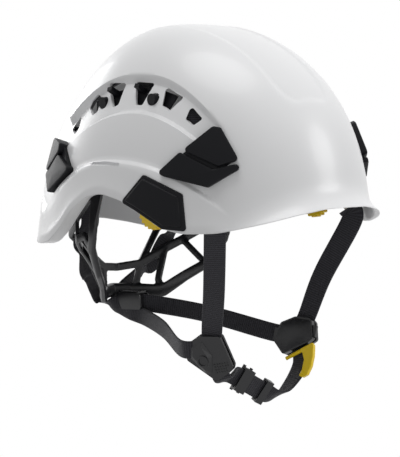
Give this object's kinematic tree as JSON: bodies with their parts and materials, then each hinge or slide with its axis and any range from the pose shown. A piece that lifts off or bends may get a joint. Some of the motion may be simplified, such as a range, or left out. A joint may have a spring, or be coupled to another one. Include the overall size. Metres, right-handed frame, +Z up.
{
  "type": "climbing helmet",
  "caption": "White vented work-at-height climbing helmet with webbing cradle, geared headband, nape cradle and Y chin strap.",
  "frame": {"origin": "on the mid plane at the ear axis, at the level of the shell's lowest rim: the middle of the head opening", "axes": "+X forwards, +Y to the wearer's left, +Z up through the crown"},
  "size_m": [0.2778, 0.2064, 0.2682],
  "materials": {
    "shell_white": "semi-gloss moulded ABS",
    "trim_black": "fine-grained nylon",
    "accent_yellow": "satin nylon",
    "webbing_black": "woven polyester webbing",
    "pad_fabric": "knitted mesh over foam"
  },
  "bodies": {
    "helmet": {"outer_shell": "shell_white", "shutter_studs": "trim_black", "front_lamp_clip_right": "trim_black", "front_lamp_clip_left": "trim_black", "rear_lamp_clip_right": "trim_black", "rear_lamp_clip_left": "trim_black", "side_cover_right": "trim_black", "side_cover_left": "trim_black", "cradle_strap_right_diagonal": "webbing_black", "cradle_strap_left_diagonal": "webbing_black", "cradle_strap_cross": "webbing_black", "cradle_anchors": "trim_black", "forehead_band": "trim_black", "forehead_pad": "pad_fabric", "headband_hangers": "trim_black", "front_strap_right": "webbing_black", "front_strap_left": "webbing_black", "rear_strap_right": "webbing_black", "rear_strap_left": "webbing_black", "front_strap_anchors": "trim_black", "rear_strap_anchors": "trim_black", "strap_adjuster_back": "trim_black", "strap_adjuster_front": "trim_black", "buckle_body": "trim_black", "buckle_cover": "trim_black", "chin_strap": "webbing_black", "ladder_lock": "trim_black"},
    "vent_shutter_right": {"vent_shutter_right": "trim_black"},
    "vent_shutter_left": {"vent_shutter_left": "trim_black"},
    "headband_arms": {"sliding_arm_right": "trim_black", "sliding_arm_left": "trim_black", "pivot_pins": "trim_black"},
    "nape_cradle": {"nape_cradle": "trim_black", "nape_strap_slider": "trim_black"},
    "adjust_wheel_right": {"adjust_wheel_right": "accent_yellow"},
    "adjust_wheel_left": {"adjust_wheel_left": "accent_yellow"},
    "buckle_button_front": {"buckle_button_front": "trim_black"},
    "buckle_button_rear": {"buckle_button_rear": "trim_black"},
    "buckle_selector": {"buckle_selector": "accent_yellow"},
    "strap_keeper": {"strap_keeper": "trim_black"}
  },
  "joints": [
    {"name": "vent_shutter_right_slide", "type": "hinge", "parent": "helmet", "child": "vent_shutter_right", "pos_m": [0.0173, -0.07299, 0.018], "axis": [-0.1219, 0.9925, 0], "range_deg": [0, 4.3]},
    {"name": "vent_shutter_left_slide", "type": "hinge", "parent": "helmet", "child": "vent_shutter_left", "pos_m": [0.0173, 0.07299, 0.018], "axis": [0.1219, 0.9925, 0], "range_deg": [0, 4.3]},
    {"name": "headband_fit", "type": "slide", "parent": "helmet", "child": "headband_arms", "axis": [1, 0, 0], "range_m": [0, 0.024], "deforming": ["rear_strap_right", "rear_strap_left"]},
    {"name": "nape_cradle_swing", "type": "hinge", "parent": "headband_arms", "child": "nape_cradle", "pos_m": [-0.028, 0, 0.0443], "axis": [0, -1, 0], "range_deg": [-4, 12], "deforming": ["rear_strap_right", "rear_strap_left"]},
    {"name": "adjust_wheel_right_turn", "type": "hinge", "parent": "helmet", "child": "adjust_wheel_right", "pos_m": [0.042, -0.078, 0.032], "axis": [0, 1, 0], "range_deg": [0, 230]},
    {"name": "adjust_wheel_left_turn", "type": "hinge", "parent": "helmet", "child": "adjust_wheel_left", "pos_m": [0.042, 0.078, 0.032], "axis": [0, 1, 0], "range_deg": [0, 230]},
    {"name": "buckle_button_front_press", "type": "slide", "parent": "helmet", "child": "buckle_button_front", "axis": [-0.9703, -0.2419, 0], "range_m": [0, 0.002], "stiffness_N_per_m": 600, "springref_m": -0.002},
    {"name": "buckle_button_rear_press", "type": "slide", "parent": "helmet", "child": "buckle_button_rear", "axis": [0.9703, 0.2419, 0], "range_m": [0, 0.002], "stiffness_N_per_m": 600, "springref_m": -0.002},
    {"name": "buckle_selector_turn", "type": "hinge", "parent": "helmet", "child": "buckle_selector", "pos_m": [0.06527, 0.03739, -0.07627], "axis": [-0.7953, -0.3535, -0.4925], "range_deg": [0, 35]},
    {"name": "strap_keeper_slide", "type": "slide", "parent": "helmet", "child": "strap_keeper", "axis": [-0.1152, -0.8885, 0.4442], "range_m": [0, 0.004]}
  ],
  "couplings": [
    {"joint": "adjust_wheel_right_turn", "follows": "headband_fit", "rad_per_m": 166.67},
    {"joint": "adjust_wheel_left_turn", "follows": "headband_fit", "rad_per_m": 166.67}
  ]
}
